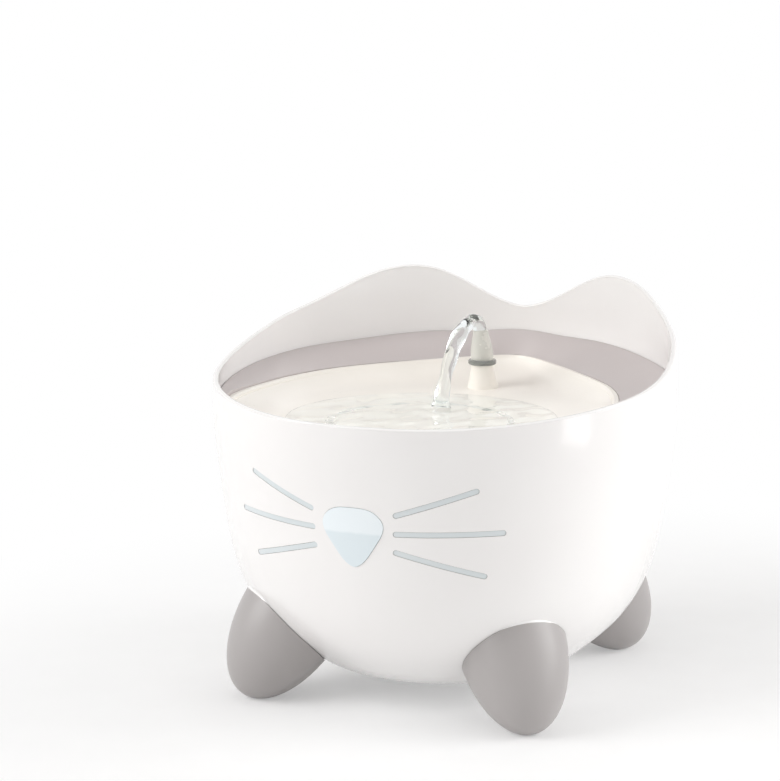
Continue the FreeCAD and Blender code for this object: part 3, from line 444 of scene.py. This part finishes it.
def stream_points():
    """Path point + r(s, t) (cos t across + sin t outward), r swelling as cos(2t + twist s)."""
    knots = np.array(STREAM)
    chord = np.concatenate([[0], np.cumsum(np.hypot(*np.diff(knots[:, :2], axis=0).T))])
    s = np.linspace(0, chord[-1], STREAM_ROWS)
    slopes = np.gradient(knots, chord, axis=0)
    k = np.clip(np.searchsorted(chord, s, side="right") - 1, 0, len(chord) - 2)
    h = (chord[k + 1] - chord[k])[:, None]
    t = ((s - chord[k]) / h[:, 0])[:, None]
    path = hermite(t, h, knots[k], knots[k + 1], slopes[k], slopes[k + 1])
    tangent = np.gradient(path[:, :2], axis=0)
    tangent /= np.linalg.norm(tangent, axis=1)[:, None]
    turn = np.linspace(0, 2 * math.pi, STREAM_COLUMNS, endpoint=False)[None, :]
    swell = 1 + 0.13 * np.cos(2 * turn + s[:, None] / 7.0) + 0.05 * np.sin(s[:, None] / 2.6)
    r = path[:, 2:3] * swell
    x = r * np.cos(turn)
    y = path[:, 0:1] + r * np.sin(turn) * tangent[:, 1:2] * -1
    z = path[:, 1:2] + r * np.sin(turn) * tangent[:, 0:1]
    tube = np.stack([x, y, z], -1).reshape(-1, 3)
    ends = [np.array([[0, path[e, 0], path[e, 1]]]) for e in (0, -1)]
    return np.concatenate([ends[0], tube, ends[1]]) * MM


stream = surface("water_stream", stream_points(), capped_faces(STREAM_ROWS, STREAM_COLUMNS),
                 "spout")
stream.data.materials.append(water)

# %% [markdown]
# ## Floor, light and air
#
# A cut-out product picture stands on pure white with one soft pale shadow. The floor is a large
# white plane that catches the shadow. For rays from the camera it is mixed with a plain white
# glow, more and more with distance, so it melts into the white world with no horizon. Reflections
# and clear plastic see that white too, while the object itself is lit at a plain level.

# %% Floor and world
FLOOR = 6.0
GLOW_NEAR = 0.35
SHADOW_SIDE = (0.13, -0.04, 0.0)
floor_mesh = bpy.data.meshes.new("studio_floor")
floor_mesh.from_pydata([(-FLOOR, -FLOOR, 0), (FLOOR, -FLOOR, 0), (FLOOR, FLOOR, 0),
                        (-FLOOR, FLOOR, 0)], [], [(0, 1, 2, 3)])
floor = bpy.data.objects.new("studio_floor", floor_mesh)
bpy.context.scene.collection.objects.link(floor)


def white_paper(near, far):
    """Diffuse white, mixed with a white glow for camera, mirror and glass rays, by distance."""
    material, start = new_finish("studio_paper")
    place = start.node("ShaderNodeTexCoord", output="Object")
    aside = start.node("ShaderNodeVectorMath", {"operation": "SUBTRACT"}, {0: place, 1: SHADOW_SIDE})
    away = start.node("ShaderNodeVectorMath", {"operation": "LENGTH"}, {0: aside}, output="Value")
    fade = start.node("ShaderNodeMapRange", {"interpolation_type": "SMOOTHSTEP"},
                      {"Value": away, "From Min": near, "From Max": far, "To Min": GLOW_NEAR,
                       "To Max": 1.0})
    looked_at = seen_directly(start)
    share = fade * looked_at.maths("MINIMUM", looked_at, 1.0)
    grain = start.node("ShaderNodeTexNoise", {}, {"Vector": place, "Scale": 40.0})
    tone = start.node("ShaderNodeValToRGB",
                      {"stops": [(0.3, srgb(253, 253, 253)), (0.7, srgb(255, 255, 255))]},
                      {"Fac": grain})
    paper = start.node("ShaderNodeBsdfDiffuse", {}, {"Color": tone})
    glow = start.node("ShaderNodeEmission", {}, {"Color": (1, 1, 1, 1), "Strength": 1.0})
    mixed = start.node("ShaderNodeMixShader", {}, {0: share, 1: paper, 2: glow})
    end_at("ShaderNodeOutputMaterial", mixed)
    return material


floor_mesh.materials.append(white_paper(0.20, 0.50))

AIR_LEVEL = 0.37
world = bpy.data.worlds.new("studio_air")
world.use_nodes = True
bpy.context.scene.world = world
world.node_tree.nodes.clear()
air = Link(world.node_tree)
looked_at = seen_directly(air)
level = AIR_LEVEL + (1.0 - AIR_LEVEL) * looked_at.maths("MINIMUM", looked_at, 1.0)
tint = air.node("ShaderNodeValToRGB", {"stops": [(0.0, (1.0, 0.972, 0.955, 1.0)),
                                                 (1.0, (1.0, 1.0, 1.0, 1.0))]}, {"Fac": looked_at})
back = air.node("ShaderNodeBackground", {}, {"Color": tint, "Strength": level})
end_at("ShaderNodeOutputWorld", back)
print("floor and world are white, air level", AIR_LEVEL)

# %% [markdown]
# ## Lamps
#
# The tub looks round because its middle, which faces the camera, is a little darker than its sides.
# A broad soft lamp at the left and a narrower one at the right give that, with a warm grey band
# between them. A tall soft strip close by on the right is mirrored in the polish near the rim.

# %% Lamps
def lamp(name, place, aim, width, height, watts, colour=(1, 1, 1)):
    """A rectangular soft lamp that faces a point."""
    data = bpy.data.lights.new(name, "AREA")
    data.shape = "RECTANGLE"
    data.size, data.size_y = width, height
    data.energy = watts
    data.color = colour
    light = bpy.data.objects.new(name, data)
    light.visible_camera = False
    light.location = place
    light.rotation_euler = (Vector(place) - Vector(aim)).to_track_quat("Z", "Y").to_euler()
    bpy.context.scene.collection.objects.link(light)
    return light


lamp("key_left", (-1.10, -1.00, 0.95), (0, 0, 0.1), 1.1, 1.0, 15.5)
lamp("fill_right", (1.40, 0.56, 0.75), (0, 0, 0.1), 0.7, 1.0, 10.5)
lamp("top", (-0.15, -0.15, 1.80), (0, 0, 0.1), 1.0, 1.0, 4.0)
lamp("soft_strip_right", (0.60, -0.073, 0.28), (0, 0, 0.13), 0.16, 0.60, 0.7)
print("lamps placed")
